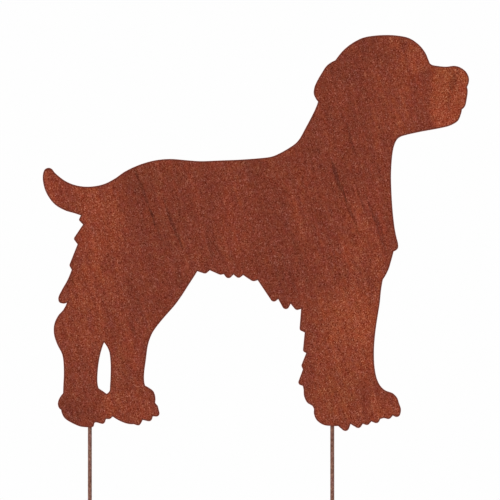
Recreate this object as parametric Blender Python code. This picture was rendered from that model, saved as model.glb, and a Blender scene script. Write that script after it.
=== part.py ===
# Dog silhouette garden stake.
# A flat dog cut from rusting steel plate, welded to two round bars that are pushed into the ground.
# Metres, +Z up. The dog faces +X, and the face that is looked at points along -Y.
# The origin is on the ground line under the paws, midway between the axes of the two bars.

import math

import bmesh
import bpy
from mathutils import Vector
from mathutils.geometry import interpolate_bezier

# Driving sizes
FIGURE_LENGTH = 0.4264      # from the tail to the nose
PLATE_THICKNESS = 0.002
BAR_DIAMETER = 0.004
BAR_BELOW_GROUND = 0.200    # from the ground line down to the point's end
BAR_LAP = 0.050             # from the ground line up to the bar's top, behind the leg
BAR_END_CHAMFER = 0.0004
POINT_LENGTH = 0.012
POINT_FLAT = 0.0012         # diameter of the blunt end of the ground point
WELD_LENGTH = 0.014
WELD_DIAMETER = 0.0018
GAP = 0.0003                # between pieces that touch

# Fineness of the round shapes
BAR_SIDES = 20
WELD_SIDES = 10
WELD_END_RINGS = 3
CURVE_TURN = math.radians(4)
CURVE_STEP = 5.0            # in the drawing's units
TIP_TURN = math.radians(18)
SHARP_EDGE = math.radians(35)
MERGE_DISTANCE = 0.00001

# Finishes, with colours as linear red, green and blue
PLATE_COLOUR = (0.220, 0.050, 0.028)
PLATE_ROUGHNESS = 0.85
BAR_COLOUR = (0.205, 0.098, 0.073)
BAR_ROUGHNESS = 0.80
WELD_COLOUR = (0.130, 0.060, 0.045)
WELD_ROUGHNESS = 0.75
RUST_METALLIC = 0.3

# The dog is drawn at 426.4 units long, in x from the middle between the bars and z from the ground line.
# The bars stand at these places of the drawing, under the hind and the front paw.
BAR_SPOT = 121.4
SOLE_HEIGHT = 4.4           # the paws' edge over the ground line, where the bars come out

# Smooth stretches of the outline, clockwise from the root of the tail. Each ends in a corner.
TAIL_ROOT = (-130.3, 215.6)
TAIL_AND_BACK = [
    (-136.0, 217.6), (-146.0, 220.6), (-156.0, 226.4), (-163.5, 235.9), (-167.0, 244.5),
    (-168.3, 255.0), (-166.3, 261.5), (-162.5, 263.2), (-159.5, 262.3), (-156.0, 258.1),
    (-146.0, 250.2), (-136.0, 246.0), (-126.0, 244.4), (-116.0, 244.9), (-106.0, 247.4),
    (-96.0, 252.6), (-86.0, 259.6), (-71.0, 266.5), (-56.0, 270.7), (-41.0, 272.1),
    (-24.0, 270.8), (-11.0, 269.9), (9.0, 270.6), (29.0, 271.4), (49.0, 272.9),
    (59.0, 274.1), (65.0, 276.0), (75.8, 281.7), (84.5, 287.6), (88.6, 292.3),
    (93.5, 301.0), (103.9, 321.1), (107.1, 329.4),
]
EAR = [
    (104.9, 332.4), (102.8, 337.5), (103.5, 344.0), (106.3, 350.4), (110.8, 358.1),
    (116.0, 365.6), (124.3, 370.8),
]
CROWN = [
    (128.5, 376.4), (133.8, 382.2), (144.0, 389.6), (154.0, 393.9), (174.0, 396.1),
    (189.4, 395.1), (199.2, 392.5), (208.9, 385.5), (215.0, 377.3), (216.9, 372.6), (218.8, 368.0),
]
NOSE = [
    (221.0, 366.3), (227.0, 365.1), (235.0, 364.4), (244.0, 365.2), (250.0, 363.3),
    (255.5, 358.7), (258.1, 352.0), (256.1, 344.0),
]
LIPS = [(256.8, 340.0), (255.8, 332.0), (254.1, 325.0), (251.0, 321.6)]
THROAT = [
    (249.7, 316.0), (246.8, 310.1), (239.1, 305.5), (229.0, 302.9), (209.0, 299.2),
    (194.0, 295.8), (189.0, 294.0), (185.8, 291.1), (182.5, 283.0), (180.2, 261.0),
    (180.4, 241.0), (182.0, 217.0), (184.0, 201.0), (185.6, 193.3), (187.1, 187.2), (186.9, 182.7),
    (182.7, 179.6),
]
BREAST = [(180.4, 171.0), (177.3, 161.0), (171.9, 151.4)]
FORELEG = [
    (170.1, 141.0), (168.8, 128.0), (166.4, 113.0), (164.3, 98.0), (163.0, 80.0),
    (163.7, 63.0), (166.0, 52.0), (169.3, 45.4), (174.1, 40.8), (182.1, 37.5),
    (186.3, 33.0), (188.0, 28.0), (190.0, 21.5), (188.6, 15.4), (186.0, 14.0),
    (182.0, 15.4),
]
FOREPAW_SOLE = [
    (120.0, 5.0), (112.5, 6.1), (105.7, 10.9), (102.9, 17.5), (102.9, 22.0),
    (101.3, 25.0), (96.3, 28.3), (93.1, 34.9), (92.5, 42.0), (91.6, 45.2),
]
STIFLE = [
    (-15.8, 156.3), (-22.6, 145.8), (-29.0, 135.8), (-36.2, 125.8), (-45.1, 115.7),
    (-53.3, 105.9), (-57.0, 100.8), (-59.8, 95.8), (-63.1, 86.0), (-65.2, 71.0),
    (-66.8, 59.0), (-67.0, 51.0), (-66.0, 45.4),
]
TOE = [(-62.3, 43.3), (-57.8, 39.8), (-55.8, 34.5), (-55.9, 28.1)]
PAW_BRIDGE = [(-83.0, 7.1), (-90.0, 9.5), (-98.3, 14.3)]
REAR_SOLE = [
    (-127.0, 3.9), (-131.0, 4.5), (-139.1, 8.0), (-146.1, 12.5), (-148.9, 17.0),
    (-149.9, 21.2),
]
REAR_HEEL = [(-151.9, 22.9), (-153.2, 26.5), (-152.3, 31.3), (-148.0, 37.9)]
HOCK = [
    (-147.7, 46.0), (-147.2, 60.0), (-148.7, 76.0), (-153.7, 86.4), (-157.0, 96.5),
    (-156.8, 106.5), (-153.1, 115.0), (-147.6, 121.5), (-144.2, 128.3),
]
BREECHES = [
    (-147.8, 127.4), (-151.8, 128.9), (-152.7, 133.2), (-149.0, 141.4), (-143.8, 150.6),
    (-139.4, 161.2),
]

# Locks of fur, as a chain of round tips (x, z, radius) and of the notches and corners (x, z) after them
FOREPAW_LOCKS = [
    (177.3, 15.2, 3.3), (173.0, 12.9), (169.4, 12.0),
    (165.2, 11.2, 3.4), (160.4, 9.5),
    (155.9, 9.0, 3.1), (151.8, 7.1),
    (147.2, 6.5, 3.6), (139.6, 6.9),
    (134.4, 3.8, 3.85), (127.2, 4.9),
]
FORELEG_LOCKS = [
    (90.3, 48.7, 2.95), (91.9, 61.5),
    (92.7, 65.5, 2.25), (95.2, 77.9),
    (94.2, 81.0, 2.2), (93.7, 98.5),
    (91.1, 102.5, 2.5), (90.1, 122.0),
]
BELLY_LOCKS = [
    (86.3, 124.4, 3.4), (79.7, 127.2),
    (74.8, 125.4, 3.55), (67.2, 131.9),
    (62.9, 132.9, 3.5), (46.7, 150.8),
    (42.7, 154.7, 4.9), (32.2, 155.9),
    (27.6, 156.3, 3.15), (22.5, 156.4),
    (17.5, 156.4, 3.55), (12.7, 156.8),
    (9.6, 159.6, 3.4), (-1.2, 160.7),
    (-6.2, 160.7, 3.25), (-13.7, 159.8),
]
HIND_PAW_LOCKS = [
    (-53.3, 25.1),
    (-54.7, 17.6, 3.2), (-58.2, 14.6),
    (-62.1, 12.9, 3.25), (-68.3, 11.0),
    (-73.0, 8.5, 2.95), (-77.5, 6.8),
]
REAR_PAW_LOCKS = [
    (-102.0, 14.3, 2.45), (-105.1, 11.9),
    (-108.7, 9.9, 2.8), (-115.1, 8.7), (-116.7, 7.9),
    (-119.5, 6.1, 2.45), (-123.0, 3.65),
]
HAUNCH_LOCKS = [
    (-139.1, 165.9, 2.5), (-133.5, 186.8),
    (-134.6, 192.4, 2.5), (-128.1, 206.5),
    (-130.2, 211.4, 1.85), TAIL_ROOT,
]

# The slot between the hind legs
SLOT_TOP = (-107.0, 88.5)
SLOT_REAR = [(-109.4, 82.0), (-112.0, 71.0), (-113.5, 58.0), (-113.6, 48.0), (-112.4, 42.6)]
SLOT_FLOOR = [(-108.0, 39.7), (-104.5, 37.2)]
SLOT_FRONT = [(-101.5, 40.2), (-101.0, 45.0), (-100.4, 58.0), (-100.6, 70.0), (-102.2, 80.5), SLOT_TOP]


# Slope of a smooth curve at each of its knots, per unit of the knots' times
def knot_slopes(knots, times):
    slopes = []
    for i in range(1, len(knots) - 1):
        before = (knots[i] - knots[i - 1]) / (times[i] - times[i - 1])
        after = (knots[i + 1] - knots[i]) / (times[i + 1] - times[i])
        across = (knots[i + 1] - knots[i - 1]) / (times[i + 1] - times[i - 1])
        slopes.append(before + after - across)
    first = 2 * (knots[1] - knots[0]) / (times[1] - times[0]) - slopes[0]
    last = 2 * (knots[-1] - knots[-2]) / (times[-1] - times[-2]) - slopes[-1]
    return [first] + slopes + [last]


# Carries a line on from its last point in one smooth curve through the points given
def sweep(line, points):
    knots = [line[-1]] + [Vector(point) for point in points]
    times = [0.0]
    for start, end in zip(knots, knots[1:]):
        times.append(times[-1] + math.sqrt((end - start).length))
    slopes = knot_slopes(knots, times)
    for i in range(len(knots) - 1):
        third = (times[i + 1] - times[i]) / 3
        leave = slopes[i] * third
        arrive = slopes[i + 1] * third
        middle = knots[i + 1] - arrive - knots[i] - leave
        turn = leave.angle(middle, 0.0) + middle.angle(arrive, 0.0)
        length = (knots[i + 1] - knots[i]).length
        steps = max(math.ceil(turn / CURVE_TURN), math.ceil(length / CURVE_STEP))
        handles = (knots[i] + leave, knots[i + 1] - arrive)
        line.extend(interpolate_bezier(knots[i], *handles, knots[i + 1], steps + 1)[1:])


# Carries a line on along a chain of locks: straight flanks that wrap round each tip
def fringe(line, chain):
    for spot, follower in zip(chain, chain[1:] + chain[:1]):
        if len(spot) == 2:
            line.append(Vector(spot))
            continue
        centre = Vector(spot[:2])
        radius = spot[2]
        inward = centre - line[-1]
        outward = Vector(follower[:2]) - centre
        heading = math.atan2(inward.y, inward.x) + math.asin(radius / inward.length)
        last_heading = math.atan2(outward.y, outward.x) - math.asin(radius / outward.length)
        turn = (heading - last_heading) % math.tau
        steps = math.ceil(turn / TIP_TURN)
        for step in range(steps + 1):
            angle = heading - turn * step / steps
            line.append(centre + radius * Vector((-math.sin(angle), math.cos(angle))))


# The dog's outline, as a closed line in the drawing's units
def dog_outline():
    line = [Vector(TAIL_ROOT)]
    for stretch in (TAIL_AND_BACK, EAR, CROWN, NOSE, LIPS, THROAT, BREAST, FORELEG):
        sweep(line, stretch)
    fringe(line, FOREPAW_LOCKS)
    sweep(line, FOREPAW_SOLE)
    fringe(line, FORELEG_LOCKS + BELLY_LOCKS)
    sweep(line, STIFLE)
    sweep(line, TOE)
    fringe(line, HIND_PAW_LOCKS)
    sweep(line, PAW_BRIDGE)
    fringe(line, REAR_PAW_LOCKS)
    for stretch in (REAR_SOLE, REAR_HEEL, HOCK, BREECHES):
        sweep(line, stretch)
    fringe(line, HAUNCH_LOCKS)
    return line[1:]


# The slot's outline, as a closed line in the drawing's units
def slot_outline():
    line = [Vector(SLOT_TOP)]
    for stretch in (SLOT_REAR, SLOT_FLOOR, SLOT_FRONT):
        sweep(line, stretch)
    return line[1:]


def make_material(name, colour, roughness):
    material = bpy.data.materials.new(name)
    material.use_nodes = True
    shader = material.node_tree.nodes["Principled BSDF"]
    shader.inputs["Base Color"].default_value = (*colour, 1.0)
    shader.inputs["Metallic"].default_value = RUST_METALLIC
    shader.inputs["Roughness"].default_value = roughness
    return material


def add_piece(name, shape, material, location, parent):
    mesh = bpy.data.meshes.new(name)
    shape.to_mesh(mesh)
    shape.free()
    mesh.materials.append(material)
    piece = bpy.data.objects.new(name, mesh)
    piece.location = location
    piece.parent = parent
    bpy.context.scene.collection.objects.link(piece)
    return piece


# Flat plate with the drawn outlines, its back face at y = 0
def plate_shape(outlines, scale):
    shape = bmesh.new()
    for outline in outlines:
        corners = [shape.verts.new((point.x * scale, 0.0, point.y * scale)) for point in outline]
        for start, end in zip(corners, corners[1:] + corners[:1]):
            shape.edges.new((start, end))
    bmesh.ops.triangle_fill(shape, use_beauty=True, edges=shape.edges[:], normal=(0.0, 1.0, 0.0))
    raised = bmesh.ops.extrude_face_region(shape, geom=shape.faces[:])
    front = [item for item in raised["geom"] if isinstance(item, bmesh.types.BMVert)]
    bmesh.ops.translate(shape, verts=front, vec=(0.0, -PLATE_THICKNESS, 0.0))
    bmesh.ops.recalc_face_normals(shape, faces=shape.faces[:])
    return shape


# Solid turned about the Z axis from a profile of (radius, z), from the top down
def turned_shape(profile, sides):
    shape = bmesh.new()
    corners = [shape.verts.new((radius, 0.0, z)) for radius, z in profile]
    for start, end in zip(corners, corners[1:]):
        shape.edges.new((start, end))
    bmesh.ops.spin(shape, geom=shape.verts[:] + shape.edges[:], axis=(0.0, 0.0, 1.0), cent=(0.0, 0.0, 0.0),
                   angle=math.tau, steps=sides, use_merge=True)
    bmesh.ops.remove_doubles(shape, verts=shape.verts[:], dist=MERGE_DISTANCE)
    bmesh.ops.recalc_face_normals(shape, faces=shape.faces[:])
    return shape


def bar_profile():
    radius = BAR_DIAMETER / 2
    return [
        (0.0, BAR_LAP),
        (radius - BAR_END_CHAMFER, BAR_LAP),
        (radius, BAR_LAP - BAR_END_CHAMFER),
        (radius, POINT_LENGTH - BAR_BELOW_GROUND),
        (POINT_FLAT / 2, -BAR_BELOW_GROUND),
        (0.0, -BAR_BELOW_GROUND),
    ]


# A bead with round ends, centred on the origin
def weld_profile():
    radius = WELD_DIAMETER / 2
    half_run = WELD_LENGTH / 2 - radius
    angles = [math.pi / 2 * ring / WELD_END_RINGS for ring in range(WELD_END_RINGS + 1)]
    upper = [(radius * math.sin(angle), half_run + radius * math.cos(angle)) for angle in angles]
    lower = [(across, -z) for across, z in reversed(upper)]
    return upper + lower


def shade_round(piece):
    piece.data.shade_smooth()
    piece.data.set_sharp_from_angle(angle=SHARP_EDGE)


def build():
    for item in list(bpy.data.objects):
        bpy.data.objects.remove(item, do_unlink=True)

    plate_metal = make_material("rusted plate", PLATE_COLOUR, PLATE_ROUGHNESS)
    bar_metal = make_material("rusted bar", BAR_COLOUR, BAR_ROUGHNESS)
    weld_metal = make_material("weld metal", WELD_COLOUR, WELD_ROUGHNESS)

    stake = bpy.data.objects.new("dog_stake", None)
    bpy.context.scene.collection.objects.link(stake)

    outline = dog_outline()
    drawn_length = max(point.x for point in outline) - min(point.x for point in outline)
    scale = FIGURE_LENGTH / drawn_length
    plate_back = -(BAR_DIAMETER / 2 + GAP)
    plate = plate_shape([outline, slot_outline()], scale)
    add_piece("dog_plate", plate, plate_metal, (0.0, plate_back, 0.0), stake)

    # A bead lies in the corner between the bar and the plate, clear of both by the gap
    reach = BAR_DIAMETER / 2 + GAP + WELD_DIAMETER / 2
    weld_y = plate_back + GAP + WELD_DIAMETER / 2
    weld_x = math.sqrt(reach ** 2 - weld_y ** 2)
    weld_z = (SOLE_HEIGHT * scale + BAR_LAP) / 2
    for bar_name, side in (("hind_bar", -1), ("front_bar", 1)):
        bar_x = side * BAR_SPOT * scale
        bar = add_piece(bar_name, turned_shape(bar_profile(), BAR_SIDES), bar_metal, (bar_x, 0.0, 0.0), stake)
        shade_round(bar)
        for weld_name, weld_side in (("left", -1), ("right", 1)):
            place = (bar_x + weld_side * weld_x, weld_y, weld_z)
            bead = turned_shape(weld_profile(), WELD_SIDES)
            weld = add_piece(f"{bar_name}_weld_{weld_name}", bead, weld_metal, place, stake)
            shade_round(weld)


build()
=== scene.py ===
# Rusted steel dog on two ground stakes, dressed for a plain studio picture.
# Metres, +Z up. The dog faces +X and its open face looks along -Y.
import math
import random

import bmesh
import bpy
from mathutils import Matrix, Vector


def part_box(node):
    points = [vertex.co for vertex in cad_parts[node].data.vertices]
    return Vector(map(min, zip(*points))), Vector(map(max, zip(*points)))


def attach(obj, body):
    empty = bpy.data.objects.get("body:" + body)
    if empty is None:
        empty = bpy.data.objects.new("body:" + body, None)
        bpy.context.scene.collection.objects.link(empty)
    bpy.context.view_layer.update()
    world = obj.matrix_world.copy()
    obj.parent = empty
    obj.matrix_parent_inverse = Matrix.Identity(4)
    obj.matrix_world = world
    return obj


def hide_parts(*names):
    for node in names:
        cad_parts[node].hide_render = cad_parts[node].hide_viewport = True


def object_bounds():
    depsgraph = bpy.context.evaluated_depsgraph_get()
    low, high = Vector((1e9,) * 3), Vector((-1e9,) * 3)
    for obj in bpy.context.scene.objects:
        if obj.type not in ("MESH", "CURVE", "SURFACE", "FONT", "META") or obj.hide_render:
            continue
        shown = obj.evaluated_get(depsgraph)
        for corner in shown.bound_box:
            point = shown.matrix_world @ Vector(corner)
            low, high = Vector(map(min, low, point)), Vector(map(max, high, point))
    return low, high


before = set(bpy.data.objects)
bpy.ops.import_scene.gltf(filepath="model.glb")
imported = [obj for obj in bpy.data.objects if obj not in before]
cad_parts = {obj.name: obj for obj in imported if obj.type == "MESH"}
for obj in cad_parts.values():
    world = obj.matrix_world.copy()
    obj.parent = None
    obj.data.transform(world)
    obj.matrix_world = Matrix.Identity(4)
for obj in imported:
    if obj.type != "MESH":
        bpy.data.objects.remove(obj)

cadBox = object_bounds()
mm = 0.001
barNames = ["hind_bar", "front_bar"]


# A shader socket that adds and multiplies like a number
class Wire:
    def __init__(self, tree, socket=None):
        self.tree = tree
        self.socket = socket

    # Any node: its settings come first, then the values or links of its sockets
    def node(self, kind, settings=None, sockets=None, out=0):
        made = self.tree.nodes.new(kind)
        for name, value in (settings or {}).items():
            if name == "stops":
                fillRamp(made.color_ramp, value)
            else:
                setattr(made, name, value)
        for name, value in (sockets or {}).items():
            if isinstance(value, Wire):
                self.tree.links.new(value.socket, made.inputs[name])
            else:
                made.inputs[name].default_value = value
        return Wire(self.tree, made.outputs[out] if made.outputs else None)

    def calc(self, operation, first, second):
        return self.node("ShaderNodeMath", {"operation": operation}, {0: first, 1: second})

    def __add__(self, other):
        return self.calc("ADD", self, other)

    def __sub__(self, other):
        return self.calc("SUBTRACT", self, other)

    def __rsub__(self, other):
        return self.calc("SUBTRACT", other, self)

    def __mul__(self, other):
        return self.calc("MULTIPLY", self, other)

    __radd__ = __add__
    __rmul__ = __mul__

    # 0 below the first value, 1 above the second, and a smooth step between them
    def step(self, low, high):
        sockets = {"Value": self, "From Min": low, "From Max": high}
        return self.node("ShaderNodeMapRange", {"interpolation_type": "SMOOTHSTEP"}, sockets)

    def noise(self, scale, detail=2.0, roughness=0.5):
        sockets = {"Vector": self, "Scale": scale, "Detail": detail, "Roughness": roughness}
        return self.node("ShaderNodeTexNoise", {}, sockets, "Fac")

    # A position times a stretch on each axis
    def stretched(self, stretch):
        return self.node("ShaderNodeVectorMath", {"operation": "MULTIPLY"}, {0: self, 1: stretch})

    # How far a position is from the middle of an ellipse, in its own half widths
    def distance(self, middle, halfSize, turn=(0.0, 0.0, 0.0)):
        sockets = {"Vector": self, "Location": middle, "Rotation": turn, "Scale": halfSize}
        inside = self.node("ShaderNodeMapping", {"vector_type": "TEXTURE"}, sockets)
        return inside.node("ShaderNodeVectorMath", {"operation": "LENGTH"}, {0: inside}, "Value")


def fillRamp(ramp, stops):
    while len(ramp.elements) < len(stops):
        ramp.elements.new(1.0)
    for element, (position, colour) in zip(ramp.elements, stops):
        element.position = position
        element.color = colour


# A colour given in screen values, made linear
def paint(red, green, blue):
    linear = []
    for share in (red / 255, green / 255, blue / 255):
        linear.append(share / 12.92 if share <= 0.04045 else ((share + 0.055) / 1.055) ** 2.4)
    return (*linear, 1.0)


def mixed(factor, first, second, how="MIX"):
    settings = {"data_type": "RGBA", "blend_type": how}
    return factor.node("ShaderNodeMix", settings, {0: factor, 6: first, 7: second}, 2)


def newMaterial(name):
    material = bpy.data.materials.new(name)
    material.use_nodes = True
    material.node_tree.nodes.clear()
    return material, Wire(material.node_tree)


# The raised grains are a little smoother than the pits
def finishMaterial(start, colour, height, look):
    roughness, smoothing = look["rough"]
    sockets = {"Height": height, "Strength": look["bumpStrength"], "Distance": look["bumpDepth"]}
    sockets = {
        "Base Color": colour,
        "Roughness": roughness - height * smoothing,
        "Normal": start.node("ShaderNodeBump", {}, sockets),
        "Specular IOR Level": look["shine"],
    }
    surface = start.node("ShaderNodeBsdfPrincipled", {}, sockets)
    start.node("ShaderNodeOutputMaterial", {}, {"Surface": surface})


# Rust is one tone from dark to pale, in steps of its usual spread either side of the middle
rust = {
    "tones": [
        (-5.0, (91, 25, 5)),
        (-3.0, (103, 35, 15)),
        (-1.5, (114, 44, 26)),
        (0.0, (125, 55, 36)),
        (1.5, (138, 68, 50)),
        (3.0, (153, 84, 66)),
        (5.0, (176, 108, 90)),
    ],
    "reach": 5.0,
    "lean": math.radians(15),               # the rolling marks lean from upper left to lower right
    "noiseSpread": 0.11,                    # how far a noise usually strays from its middle
    # noises: per metre across, share of that along, finer octaves, weight
    "grain": (1100, 0.80, 3.0, 2.17),
    "scratch": (260, 0.08, 1.0, 0.14),
    "blotch": (260, 0.50, 1.0, 0.14),
    "streak": (190, 0.10, 1.0, 0.15),
    "cloud": (60, 0.35, 2.0, 0.10),
    "backCloud": (30, 0.6, 2.0, 0.30),      # on the back, in place of the marks of the open face
    "fray": (420, 0.22, 2.0, 0.38),         # breaks up the dark strokes
    # noises: per metre, finer octaves, their roughness, weight
    "swell": (400, 1.0, 0.5, 3.1),          # makes the grain stronger here and there
    "ragged": (90, 3.0, 0.6, 0.9),          # frays the borders of the patches
    "drift": (150, 1.0, (0.12, 0.28, 0.36)),    # per metre, finer octaves, swing of red, green and blue
    "warmGrain": 0.16,                      # how much stronger the grain is in a warm patch
    "usual": -0.12,                         # a little on the cool side where nothing is marked
    "warmTint": (1.39, 1.41, 1.18, 1.0),
    "coolTint": (0.75, 0.775, 0.87, 1.0),
    "mauveTint": (1.04, 0.955, 1.01, 1.0),
    "oliveTint": (0.97, 1.05, 1.00, 1.0),
    "strokeTint": (0.48, 0.47, 0.48, 1.0),
    # the dark band inside the outline: painted shade of the edge, partly the cut's heat oxide
    "edgeShadeAndOxideColour": paint(94, 46, 36),
    "backFrom": 0.4,                        # the back's rust starts this far through the plate
    "rough": (0.85, 0.02),
    "bumpStrength": 0.5,
    "bumpDepth": 0.1 * mm,
    "shine": 0.10,
}


# Weather marks on the open face, in millimetres and degrees:
# (x, z), (half width, half height), lean, softness of the border, strength
warmPatches = {
    "muzzle": ((248, 336), (28, 60), 0, 0.40, 1.20),
    "jaw": ((246, 320), (13, 14), 0, 0.8, 0.16),
    "nose": ((257, 350), (9, 14), 0, 0.9, 0.42),
    "forehead": ((209, 376), (20, 14), 50, 0.9, 0.72),
    "top of the head": ((186, 390), (18, 8), 10, 0.9, 0.36),
    "cheek": ((181, 330), (20, 34), 0, 1.0, 0.36),
    "ear": ((128, 338), (12, 16), 0, 0.9, 0.22),
    "neck": ((112, 292), (7, 40), 12, 1.0, 0.18),
    "upper chest": ((142, 216), (20, 42), 15, 1.0, 0.16),
    "chest": ((164, 184), (14, 34), 12, 1.0, 0.14),
    "upper arm": ((146, 168), (24, 18), 0, 1.0, 0.28),
    "foreleg top": ((144, 116), (27, 32), 0, 1.0, 0.74),
    "front of the foreleg": ((170, 136), (9, 34), 8, 0.9, 0.28),
    "elbow": ((107, 124), (12, 20), 0, 1.0, 0.24),
    "shin": ((156, 84), (13, 34), 0, 0.9, 0.46),
    "foreleg": ((124, 58), (27, 44), 0, 1.0, 0.45),
    "forepaw": ((136, 22), (24, 18), 0, 0.9, 0.22),
    "sole": ((158, 16), (18, 15), 0, 0.9, 0.30),
    "toe": ((180, 26), (14, 16), 0, 0.9, 0.26),
    "ribs": ((20, 212), (20, 60), 3, 1.0, 0.06),
    "rump": ((-111, 208), (23, 42), 3, 0.9, 0.61),
    "thigh": ((-118, 142), (23, 22), 0, 1.0, 0.42),
    "hock": ((-130, 106), (26, 26), 0, 1.0, 0.36),
    "rear shank": ((-136, 62), (13, 28), 0, 0.9, 0.22),
    "near shank": ((-82, 60), (14, 30), 0, 0.9, 0.27),
    "hind paw": ((-84, 22), (25, 20), 0, 0.9, 0.40),
    "tail root": ((-140, 230), (24, 17), 25, 0.9, 0.48),
    "tail tip": ((-158, 252), (10, 16), -35, 0.9, 0.60),
}
coolPatches = {
    "occiput": ((132, 360), (15, 14), 0, 1.0, 0.22),
    "crown": ((160, 388), (12, 9), 0, 0.9, 0.20),
    "behind the cheek": ((146, 312), (18, 12), 0, 1.0, 0.15),
    "nape": ((98, 296), (15, 26), -25, 1.0, 0.30),
    "shoulder": ((132, 256), (14, 24), 12, 1.0, 0.20),
    "withers": ((44, 262), (16, 14), 0, 1.0, 0.28),
    "side": ((62, 188), (21, 48), 10, 1.0, 0.34),
    "brisket": ((84, 150), (22, 20), 0, 1.0, 0.20),
    "loin": ((-26, 214), (14, 50), 8, 1.0, 0.18),
    "croup": ((-72, 252), (12, 18), 10, 1.0, 0.34),
    "haunch": ((-66, 208), (14, 30), 15, 1.0, 0.26),
    "flank": ((-55, 150), (26, 36), 10, 1.0, 0.28),
    "rear paw": ((-142, 17), (17, 15), 0, 1.0, 0.66),
    "back of the foreleg": ((93, 62), (7, 34), 0, 0.9, 0.18),
    "belly": ((10, 176), (18, 22), 0, 1.0, 0.20),
}
mauvePatches = {
    "tail": ((-155, 241), (18, 14), 0, 0.9, 0.90),
    "muzzle": ((230, 312), (14, 12), 0, 0.9, 0.70),
    "cheek": ((205, 345), (10, 26), 0, 0.9, 0.50),
    "loin": ((21, 210), (9, 30), 5, 0.9, 0.60),
    "chest": ((165, 215), (8, 40), 12, 0.9, 0.60),
    "thigh": ((-120, 195), (16, 22), 0, 0.9, 0.45),
    "near shank": ((-76, 80), (8, 24), 0, 0.9, 0.50),
}
olivePatches = {
    "muzzle": ((236, 352), (12, 12), 0, 0.9, 0.80),
    "croup": ((-58, 252), (26, 14), 0, 0.9, 0.70),
    "flank": ((-40, 205), (14, 26), 8, 0.9, 0.50),
    "withers": ((40, 264), (30, 9), 0, 0.9, 0.50),
    "foreleg": ((120, 116), (14, 20), 0, 0.9, 0.60),
    "forepaw": ((128, 38), (24, 24), 0, 0.9, 0.70),
    "hind paw": ((-92, 60), (8, 26), 0, 0.9, 0.50),
}
darkStrokes = {
    "haunch": ((-67, 238), (1.8, 24), 19, 1.0, 0.56),
    "haunch, lower": ((-54, 204), (1.5, 16), 19, 1.0, 0.40),
    "loin": ((-37, 204), (1.5, 24), 22, 1.0, 0.56),
    "belly": ((0, 181), (1.8, 18), 8, 1.0, 0.32),
    "shoulder blade": ((127, 252), (1.9, 20), 20, 1.0, 0.58),
    "upper arm": ((141, 216), (1.7, 18), 21, 1.0, 0.58),
    "point of the shoulder": ((152, 226), (1.0, 18), 20, 1.0, 0.36),
    "ribs": ((84, 184), (1.8, 20), 18, 1.0, 0.20),
    "brisket": ((166, 204), (1.2, 28), 20, 1.0, 0.52),
    "brisket, front": ((170, 201), (1.0, 22), 19, 1.0, 0.44),
    "side of the neck": ((121, 312), (1.5, 20), 10, 1.0, 0.26),
    "throat": ((139, 296), (1.4, 16), 14, 1.0, 0.40),
    "stifle": ((-77, 100), (1.6, 13), 20, 1.0, 0.24),
    "nose": ((243, 350), (2.8, 13), -18, 1.0, 0.50),
    "muzzle": ((238, 331), (1.8, 8), -6, 1.0, 0.45),
}


# A soft patch with a ragged border
def patchMask(place, ragged, spot):
    (x, z), (halfWidth, halfHeight), lean, softness, strength = spot
    middle = (x * mm, 0.0, z * mm)
    halfSize = (halfWidth * mm, 1.0, halfHeight * mm)
    reach = place.distance(middle, halfSize, (0.0, -math.radians(lean), 0.0))
    return (1 - (reach + ragged * softness).step(1 - softness / 2, 1 + softness / 2)) * strength


def patchSum(place, ragged, spots):
    total = 0.0
    for spot in spots.values():
        total = patchMask(place, ragged, spot) + total
    return total


# Several noises drawn out along the rolling direction, added up to one tone
def rustTone(place, parts):
    sockets = {"Vector": place, "Rotation": (0.0, rust["lean"], 0.0)}
    total = 0.0
    for scale, along, octaves, weight in parts:
        turned = place.node("ShaderNodeMapping", {"vector_type": "POINT"}, sockets)
        field = turned.stretched((1.0, 1.0, along)).noise(scale, octaves)
        total = (field - 0.5) * (weight / rust["noiseSpread"]) + total
    return total


def rustColour(tone, tones=rust["tones"]):
    reach = rust["reach"]
    stops = [((level + reach) / (2 * reach), paint(*colour)) for level, colour in tones]
    sockets = {"Value": tone, "From Min": -reach, "From Max": reach}
    level = tone.node("ShaderNodeMapRange", {}, sockets)
    return level.node("ShaderNodeValToRGB", {"stops": stops}, {"Fac": level})


# Three noises at once make the colour wander from pinkish to greenish
def drifted(place, colour):
    scale, octaves, swing = rust["drift"]
    sockets = {"Vector": place, "Scale": scale, "Detail": octaves}
    field = place.node("ShaderNodeTexNoise", {}, sockets, "Color")
    sockets = {0: field, 1: swing, 2: [1 - part / 2 for part in swing]}
    share = place.node("ShaderNodeVectorMath", {"operation": "MULTIPLY_ADD"}, sockets)
    return colour.stretched(share)


# The weld's heat on the back, round each bar
heat = {
    "halfSize": (11 * mm, 1.0, 19 * mm),
    "soft": (0.30, 1.20),
    "ragged": (160, 2.0),
    "raggedShare": 0.5,
    "colour": paint(84, 52, 50),
    "strength": 0.55,
}


def heatMask(place):
    total = 0.0
    for barName in barNames:
        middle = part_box(barName + "_weld_left")[0].lerp(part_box(barName + "_weld_right")[1], 0.5)
        reach = place.distance((middle.x, 0.0, middle.z), heat["halfSize"])
        ragged = (place.noise(*heat["ragged"]) - 0.5) * heat["raggedShare"]
        total = (1 - (reach + ragged).step(*heat["soft"])) + total
    return total * heat["strength"]


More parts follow.
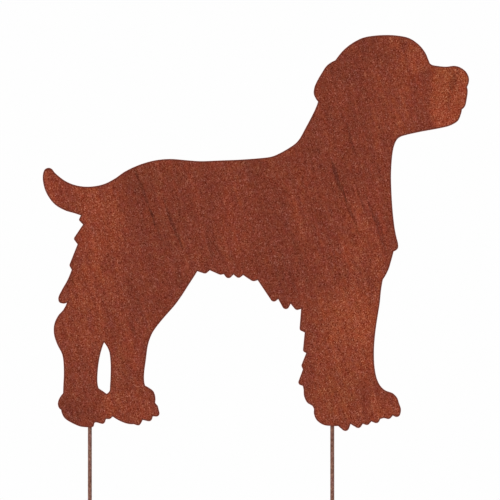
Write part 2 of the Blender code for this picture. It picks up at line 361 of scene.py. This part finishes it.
def plateFaceMaterial():
    material, start = newMaterial("rusted plate")
    place = start.node("ShaderNodeTexCoord", out="Object")
    low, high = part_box("dog_plate")
    depth = place.node("ShaderNodeSeparateXYZ", {}, {0: place}, "Y")
    back = depth.step(low.lerp(high, rust["backFrom"]).y, high.y)
    front = 1 - back

    *noise, share = rust["ragged"]
    ragged = (place.noise(*noise) - 0.5) * share
    *noise, share = rust["swell"]
    swell = (place.noise(*noise) - 0.5) * share + 1

    warm = patchSum(place, ragged, warmPatches) * front
    cool = patchSum(place, ragged, coolPatches) * front
    mauve = patchSum(place, ragged, mauvePatches) * front
    olive = patchSum(place, ragged, olivePatches) * front
    strokes = patchSum(place, rustTone(place, [rust["fray"]]), darkStrokes) * front
    clouds = rustTone(place, [rust["blotch"], rust["streak"], rust["cloud"]])
    backClouds = rustTone(place, [rust["backCloud"]]) * back
    weather = warm - cool + clouds + backClouds + rust["usual"]

    tone = rustTone(place, [rust["grain"], rust["scratch"]])
    tone = tone * (warm * rust["warmGrain"] + 1) * swell
    colour = drifted(place, rustColour(tone))
    colour = mixed(weather, colour, rust["warmTint"], "MULTIPLY")
    colour = mixed(weather * -1.0, colour, rust["coolTint"], "MULTIPLY")
    colour = mixed(mauve, colour, rust["mauveTint"], "MULTIPLY")
    colour = mixed(olive, colour, rust["oliveTint"], "MULTIPLY")
    colour = mixed(strokes, colour, rust["strokeTint"], "MULTIPLY")
    colour = mixed(heatMask(place) * back, colour, heat["colour"])
    # the dark band inside the outline is painted edge shade, partly heat oxide of the cut
    rim = start.node("ShaderNodeAttribute", {"attribute_name": "rim"}, out="Fac")
    colour = mixed(rim, colour, rust["edgeShadeAndOxideColour"])
    finishMaterial(start, colour, tone, rust)
    return material


# The cut through the plate is dark and ribbed, and its broken arrises are fresh rust in patches, painted
# bright as a highlight along the edge
cutEdge = {
    "colour": paint(66, 33, 26),
    "ribs": (1500, 2.0, 0.6),
    "through": 0.06,          # how much the ribs change through the plate, so that they run across the cut
    "least": 0.0,             # how much of the colour lies between the ribs
    "more": 1.0,              # and how much more on them
    "contrast": 4.0,
    "rough": (0.8, 0.1),
    "bumpStrength": 0.5,
    "bumpDepth": 0.1 * mm,
    "shine": 0.10,
}
# the arrises: fresh rust in patches, painted bright orange as an edge highlight
arrisRustAndHighlight = {
    **cutEdge,
    "colour": paint(190, 84, 52),
    "ribs": (600, 3.0, 0.65),
    "through": 1.0,
    "least": -0.8,
    "more": 2.8,
    "contrast": 2.0,
}


def edgeRust(name, edge):
    material, start = newMaterial(name)
    place = start.node("ShaderNodeTexCoord", out="Object")
    ribs = place.stretched((1.0, edge["through"], 1.0)).noise(*edge["ribs"])
    tone = rustTone(place, [rust["grain"]]) + (ribs - 0.5) * edge["contrast"]
    colour = mixed(ribs * edge["more"] + edge["least"], rustColour(tone), edge["colour"])
    finishMaterial(start, colour, ribs, edge)
    return material


def pieceFrom(bm, name, materials, look):
    mesh = bpy.data.meshes.new(name)
    bm.to_mesh(mesh)
    bm.free()
    for material in materials:
        mesh.materials.append(material)
    mesh.shade_smooth()
    mesh.set_sharp_from_angle(angle=math.radians(look["sharp"]))
    piece = bpy.data.objects.new(name, mesh)
    bpy.context.scene.collection.objects.link(piece)
    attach(piece, "root")
    return piece


# The plate: the sawn outline stays, its arrises are broken, and a dark band runs inside them: painted shade
# of the edge, partly the cut's heat oxide
plate = {
    "chamfer": 0.25 * mm,
    "band": (0.40 * mm, 0.45 * mm, 0.45 * mm),
    "bandShare": (0.80, 0.95, 0.85, 0.0),     # at the arris, then at the end of each step of the band
    "merge": 0.001 * mm,
    "flat": 0.9,              # a face that looks this squarely along Y is one of the two sides
    "sloped": 0.5,            # and one that looks at least this much along it is an arris
    "sharp": 30,
}


# Insets the faces and gives back the ring of corners outside them
def insetFaces(bm, faces, width):
    made = bmesh.ops.inset_region(bm, faces=faces, use_boundary=True, use_even_offset=True, thickness=width)
    inner = {vert for face in faces for vert in face.verts}
    return list({vert for face in made["faces"] for vert in face.verts} - inner)


# One side: a chamfer, the rings of the dark band (painted edge shade and heat oxide), and a fresh fill
# inside them
def dressSide(bm, side, rim):
    faces = [face for face in bm.faces if face.normal.y * side > plate["flat"]]
    outline = insetFaces(bm, faces, plate["chamfer"])
    bmesh.ops.translate(bm, verts=outline, vec=(0.0, -side * plate["chamfer"], 0.0))
    for width, share in zip(plate["band"], plate["bandShare"][1:]):
        insetFaces(bm, faces, width)
        for vert in {vert for face in faces for vert in face.verts}:
            vert[rim] = share
    bmesh.ops.delete(bm, geom=faces, context="FACES")
    edges = [edge for edge in bm.edges if edge.is_boundary]
    bmesh.ops.triangle_fill(bm, use_beauty=True, edges=edges, normal=(0.0, side, 0.0))


def buildPlate(faceMaterial, edgeMaterial, arrisRustAndHighlightMaterial):
    bm = bmesh.new()
    bm.from_mesh(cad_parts["dog_plate"].data)
    bmesh.ops.remove_doubles(bm, verts=bm.verts[:], dist=plate["merge"])
    rim = bm.verts.layers.float.new("rim")
    for vert in bm.verts:
        vert[rim] = plate["bandShare"][0]
    for side in (-1, 1):
        dressSide(bm, side, rim)
    bm.normal_update()
    for face in bm.faces:
        squareness = abs(face.normal.y)
        face.material_index = 0 if squareness > plate["flat"] else 2 if squareness > plate["sloped"] else 1
    materials = [faceMaterial, edgeMaterial, arrisRustAndHighlightMaterial]
    piece = pieceFrom(bm, "dog_plate_rusted", materials, plate)
    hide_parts("dog_plate")


print("dog stake: plate")
faceMaterial = plateFaceMaterial()
edgeMaterial = edgeRust("cut edge", cutEdge)
arrisRustAndHighlightMaterial = edgeRust("broken arris", arrisRustAndHighlight)
buildPlate(faceMaterial, edgeMaterial, arrisRustAndHighlightMaterial)


# The bars: paler, browner, with a dark speckle; turned finer than the solids, with softened ends
bar = {
    "sides": 48,
    "chamfer": 0.4 * mm,
    "pointLength": 12.0 * mm,
    "pointFlat": 0.6 * mm,
    "soften": 0.15 * mm,
    "softenSteps": 2,
    "corner": math.radians(20),       # an edge that turns more than this is softened
    "sharp": 40,
    "tones": [
        (-5.0, (81, 43, 31)),
        (-2.5, (99, 61, 49)),
        (0.0, (121, 82, 69)),
        (2.5, (145, 106, 92)),
        (5.0, (169, 132, 118)),
    ],
    "grain": (480, 0.8, 3.0, 1.3),
    "flake": (150, 0.5, 1.0, 0.4),
    "speck": (1700, 0.8, 2.0, 1.3),
    "rough": (0.8, 0.02),
    "bumpStrength": 0.4,
    "bumpDepth": 0.1 * mm,
    "shine": 0.15,
}


def metalMaterial(name, look):
    material, start = newMaterial(name)
    place = start.node("ShaderNodeTexCoord", out="Object")
    tone = rustTone(place, [look["grain"], look["flake"], look["speck"]])
    colour = drifted(place, rustColour(tone, look["tones"]))
    finishMaterial(start, colour, tone, look)
    return material


# Half the bar's outline, from the middle of its top to the middle of its point, spun round
def buildBar(name, material):
    low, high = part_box(name)
    middle = low.lerp(high, 0.5)
    radius = (high.x - low.x) / 2
    profile = [
        (0.0, high.z),
        (radius - bar["chamfer"], high.z),
        (radius, high.z - bar["chamfer"]),
        (radius, low.z + bar["pointLength"]),
        (bar["pointFlat"], low.z),
        (0.0, low.z),
    ]
    bm = bmesh.new()
    corners = [bm.verts.new((across, 0.0, z)) for across, z in profile]
    for first, second in zip(corners, corners[1:]):
        bm.edges.new((first, second))
    bmesh.ops.spin(bm, geom=bm.verts[:] + bm.edges[:], axis=(0.0, 0.0, 1.0), cent=(0.0, 0.0, 0.0),
                   angle=math.tau, steps=bar["sides"], use_merge=True)
    bmesh.ops.remove_doubles(bm, verts=bm.verts[:], dist=plate["merge"])
    bmesh.ops.recalc_face_normals(bm, faces=bm.faces[:])
    corners = [edge for edge in bm.edges if edge.calc_face_angle(0.0) > bar["corner"]]
    bmesh.ops.bevel(bm, geom=corners, offset=bar["soften"], affect="EDGES",
                    segments=bar["softenSteps"], profile=0.5, material=-1)
    bmesh.ops.translate(bm, verts=bm.verts[:], vec=(middle.x, middle.y, 0.0))
    piece = pieceFrom(bm, name + "_rusted", [material], bar)
    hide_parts(name)


print("dog stake: bars")
barRust = metalMaterial("rusted bar", bar)
for barName in barNames:
    buildBar(barName, barRust)


# The weld beads: rippled fillets that run into the plate's back and the bar's side
weld = {
    "radius": 1.45 * mm,
    "sink": 0.25 * mm,
    "sides": 20,
    "ripple": 1.30 * mm,
    "rippleDepth": 0.30,
    "rippleMiddle": 0.7,
    "rippleBow": 0.6,
    "rippleLean": math.radians(45),
    "cutsPerRipple": 8,
    "endShare": 0.5,
    "taper": (0.30, 0.50),
    "waver": 0.05,
    "waverTurns": 9,
    "offset": (0.0, 3.0),
    "seed": 11,
    "sharp": 50,
    "tones": [
        (-5.0, (62, 34, 28)),
        (-2.5, (80, 50, 42)),
        (0.0, (102, 68, 57)),
        (2.5, (128, 92, 79)),
        (5.0, (152, 118, 104)),
    ],
    "grain": (480, 0.8, 3.0, 1.2),
    "flake": (150, 0.5, 1.0, 0.8),
    "speck": (1700, 0.8, 2.0, 0.6),
    "rough": (0.8, 0.02),
    "bumpStrength": 0.4,
    "bumpDepth": 0.1 * mm,
    "shine": 0.30,
}


def buildWeld(barName, name, side, material, offset):
    low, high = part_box(name)
    middle = low.lerp(high, 0.5)
    length = high.z - low.z
    barLow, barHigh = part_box(barName)
    barAxis = barLow.lerp(barHigh, 0.5)
    barRadius = (barHigh.x - barLow.x) / 2
    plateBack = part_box("dog_plate")[1].y
    bm = bmesh.new()
    bmesh.ops.create_cone(bm, cap_ends=True, segments=weld["sides"], radius1=1.0, radius2=1.0, depth=1.0)
    upright = [edge for edge in bm.edges if abs(edge.verts[0].co.z - edge.verts[1].co.z) > 0.5]
    cuts = round(length / weld["ripple"] * weld["cutsPerRipple"])
    bmesh.ops.subdivide_edges(bm, edges=upright, cuts=cuts, use_grid_fill=True)
    first, last = weld["taper"]
    for vert in bm.verts:
        along = vert.co.z
        angle = math.atan2(vert.co.y, vert.co.x)
        ending = min(max((abs(along) - first) / (last - first), 0.0), 1.0)
        fullness = 1 - (1 - weld["endShare"]) * ending * ending
        waver = 1 + weld["waver"] * math.sin(weld["waverTurns"] * along + offset)
        radius = weld["radius"] * fullness * waver
        # the bead touches the plate and the bar alike, and sinks a little into both
        across = plateBack + radius - weld["sink"]
        reach = barRadius + radius - weld["sink"]
        aside = math.sqrt(reach ** 2 - (across - barAxis.y) ** 2)
        bow = weld["rippleBow"] * math.cos(angle - weld["rippleLean"])
        phase = along * length / weld["ripple"] + bow + offset
        radius *= 1 + weld["rippleDepth"] * (abs(math.cos(math.pi * phase)) - weld["rippleMiddle"])
        x = barAxis.x + side * (aside + radius * math.cos(angle))
        vert.co = (x, across + radius * math.sin(angle), middle.z + along * length)
    bmesh.ops.recalc_face_normals(bm, faces=bm.faces[:])
    piece = pieceFrom(bm, name + "_rippled", [material], weld)
    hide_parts(name)


# Droplets thrown on the plate's back beside the beads
spatter = {
    "seed": 5,
    "count": 13,
    "aside": (5.0 * mm, 13.0 * mm),
    "height": (13.0 * mm, 36.0 * mm),
    "size": (0.15 * mm, 0.42 * mm),
    "roundness": 2,
    "sharp": 60,
}


def buildSpatter(material):
    chance = random.Random(spatter["seed"])
    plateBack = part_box("dog_plate")[1].y
    bm = bmesh.new()
    for barName in barNames:
        low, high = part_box(barName)
        for drop in range(spatter["count"]):
            x = low.lerp(high, 0.5).x + chance.choice((-1, 1)) * chance.uniform(*spatter["aside"])
            spot = Matrix.Translation((x, plateBack, chance.uniform(*spatter["height"])))
            size = chance.uniform(*spatter["size"])
            bmesh.ops.create_icosphere(bm, subdivisions=spatter["roundness"], radius=size, matrix=spot)
    piece = pieceFrom(bm, "weld_spatter", [material], spatter)


print("dog stake: welds")
weldMetal = metalMaterial("weld metal", weld)
chance = random.Random(weld["seed"])
for barName in barNames:
    for sideName, side in (("left", -1), ("right", 1)):
        offset = chance.uniform(*weld["offset"])
        buildWeld(barName, f"{barName}_weld_{sideName}", side, weldMetal, offset)
buildSpatter(weldMetal)


# The studio: white all round, a soft sun from the upper left and two behind for the back
studio = {
    "white": (1.0, 1.0, 1.0, 1.0),
    "whiteSeen": 0.991,       # how bright the white is behind the dog, and as a light
    "whiteLight": 0.73,
    "suns": {                 # direction, power, width in degrees
        "key": ((-0.60, -1.0, 0.40), 1.12, 25),
        "back left": ((-0.7, 1.0, 0.7), 0.9, 25),
        "back right": ((0.9, 0.8, 0.5), 0.5, 35),
    },
    "floorColour": (0.92, 0.92, 0.92, 1.0),
    "floorRadius": 1.4,
    "floorSides": 96,
    "floorFade": (0.7, 1.3),
}


def buildWorld():
    world = bpy.data.worlds.new("white room")
    bpy.context.scene.world = world
    world.use_nodes = True
    world.node_tree.nodes.clear()
    start = Wire(world.node_tree)
    straight = start.node("ShaderNodeLightPath", out="Is Camera Ray")
    strength = straight * (studio["whiteSeen"] - studio["whiteLight"]) + studio["whiteLight"]
    white = start.node("ShaderNodeBackground", {}, {"Color": studio["white"], "Strength": strength})
    start.node("ShaderNodeOutputWorld", {}, {"Surface": white})


def buildSuns():
    for name, (direction, power, width) in studio["suns"].items():
        lamp = bpy.data.lights.new(name, "SUN")
        lamp.energy = power
        lamp.angle = math.radians(width)
        sun = bpy.data.objects.new(name, lamp)
        sun.rotation_euler = Vector(direction).to_track_quat("Z", "Y").to_euler()
        bpy.context.scene.collection.objects.link(sun)


def buildFloor():
    bm = bmesh.new()
    bmesh.ops.create_circle(bm, cap_ends=True, segments=studio["floorSides"], radius=studio["floorRadius"])
    bmesh.ops.translate(bm, verts=bm.verts[:], vec=(0.0, 0.0, cadBox[0].z))
    mesh = bpy.data.meshes.new("floor")
    bm.to_mesh(mesh)
    bm.free()
    floor = bpy.data.objects.new("floor", mesh)
    bpy.context.scene.collection.objects.link(floor)
    material, start = newMaterial("pale floor")
    place = start.node("ShaderNodeTexCoord", out="Object")
    reach = place.node("ShaderNodeVectorMath", {"operation": "LENGTH"}, {0: place}, "Value")
    pale = start.node("ShaderNodeBsdfDiffuse", {}, {"Color": studio["floorColour"]})
    clear = start.node("ShaderNodeBsdfTransparent")
    surface = start.node("ShaderNodeMixShader", {}, {0: reach.step(*studio["floorFade"]), 1: pale, 2: clear})
    start.node("ShaderNodeOutputMaterial", {}, {"Surface": surface})
    mesh.materials.append(material)


# The camera: level and square to the plate, from far enough to see it flat
view = {
    "distance": 3.0,
    "width": 0.500,           # what fills the picture, at the plate's open face
    "centre": (0.039, 0.181),
    "sensor": 36.0,
}


def buildCamera():
    lens = bpy.data.cameras.new("camera")
    lens.sensor_width = view["sensor"]
    lens.lens = view["sensor"] * view["distance"] / view["width"]
    camera = bpy.data.objects.new("camera", lens)
    x, z = view["centre"]
    camera.location = (x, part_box("dog_plate")[0].y - view["distance"], z)
    camera.rotation_euler = (math.radians(90), 0.0, 0.0)
    bpy.context.scene.collection.objects.link(camera)
    bpy.context.scene.camera = camera


print("dog stake: studio")
buildWorld()
buildSuns()
buildFloor()
buildCamera()
bpy.context.scene.view_settings.view_transform = "Standard"

print("dog stake: done")
